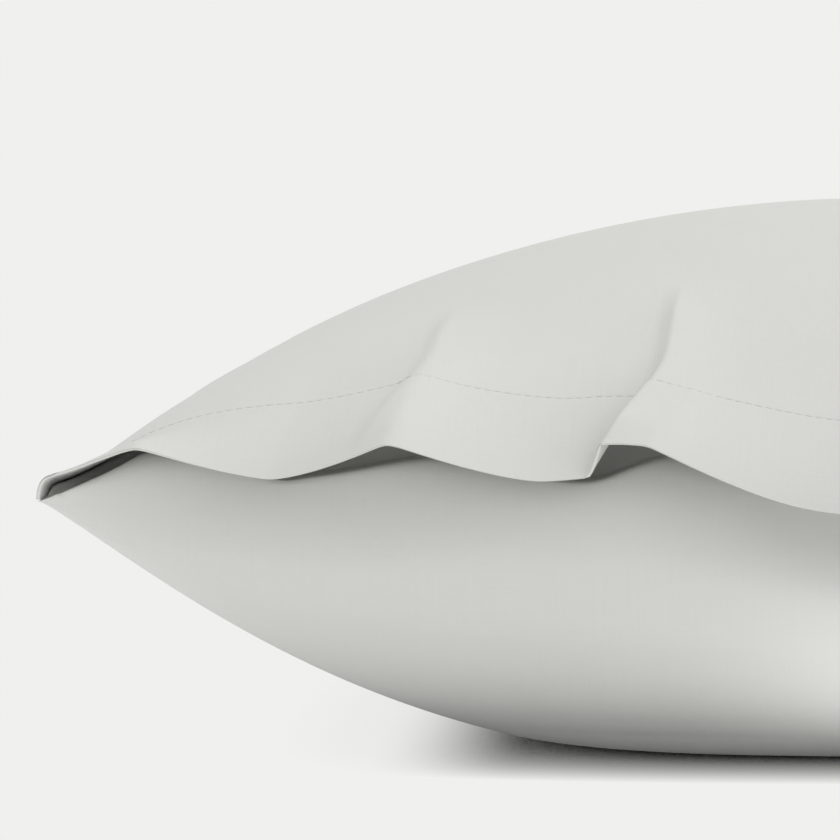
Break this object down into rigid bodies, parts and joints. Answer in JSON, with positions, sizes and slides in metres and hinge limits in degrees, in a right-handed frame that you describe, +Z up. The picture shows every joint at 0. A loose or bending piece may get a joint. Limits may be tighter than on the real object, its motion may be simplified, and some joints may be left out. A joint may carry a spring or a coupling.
{
  "type": "filled cotton pillowcase",
  "caption": "Plain light grey cotton pillowcase on its pillow, lying flat, with a tuck-in flap behind the wavy turned hem of its mouth.",
  "frame": {"origin": "on the surface that the case lies on, under the middle of its box", "axes": "+Z up, +Y along the case's length from the mouth to the far end, +X along the mouth's width"},
  "size_m": [0.4867, 0.731, 0.161],
  "materials": {
    "back_cloth": "matt plain-woven cotton, light warm grey",
    "front_cloth": "matt plain-woven cotton, light warm grey"
  },
  "bodies": {
    "root": {"back_panel": "back_cloth", "front_panel": "front_cloth"}
  },
  "joints": []
}
